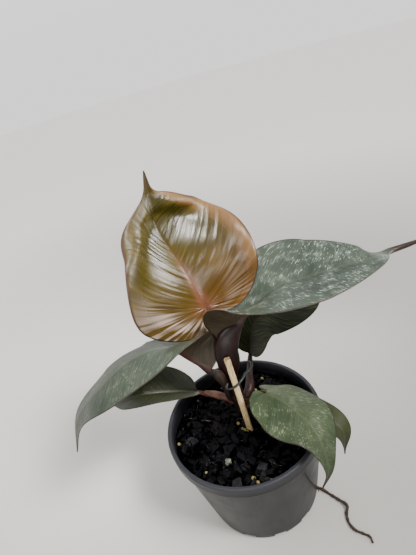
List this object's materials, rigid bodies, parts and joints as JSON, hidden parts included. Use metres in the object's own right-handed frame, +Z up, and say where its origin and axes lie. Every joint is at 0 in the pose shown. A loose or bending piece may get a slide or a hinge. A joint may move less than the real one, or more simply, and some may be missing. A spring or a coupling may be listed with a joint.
{
  "type": "potted philodendron",
  "caption": "Young heart-leaved philodendron with a bronze new leaf and long pointed green leaves, staked and tied in a round nursery pot with drainage slots.",
  "frame": {"origin": "centre of the pot's base on the surface it stands on", "axes": "+Z up, +X to the right in the front view (towards the long right-hand leaf), +Y away from the front view"},
  "size_m": [0.2992, 0.1667, 0.3066],
  "materials": {
    "pot_plastic": "satin charcoal grey",
    "soil": "moist dark potting mix with bark chips",
    "stem_skin": "smooth maroon brown",
    "stake_wood": "bare split bamboo",
    "tie_wire": "dark green coated wire",
    "root_skin": "dry dark brown",
    "dry_bract": "papery orange brown",
    "young_blade": "glossy bronze and olive",
    "green_blade": "satin grey green with pale flecks",
    "dark_blade": "satin dark olive green"
  },
  "bodies": {
    "root": {"pot": "pot_plastic", "soil": "soil", "stem": "stem_skin", "stake": "stake_wood", "tie": "tie_wire", "root": "root_skin", "dry_sheath": "dry_bract", "leaf_young": "young_blade", "leaf_right": "green_blade", "leaf_left": "green_blade", "leaf_back": "dark_blade", "leaf_smallLeft": "dark_blade", "leaf_front": "green_blade", "leaf_smallRight": "dark_blade"}
  },
  "joints": []
}
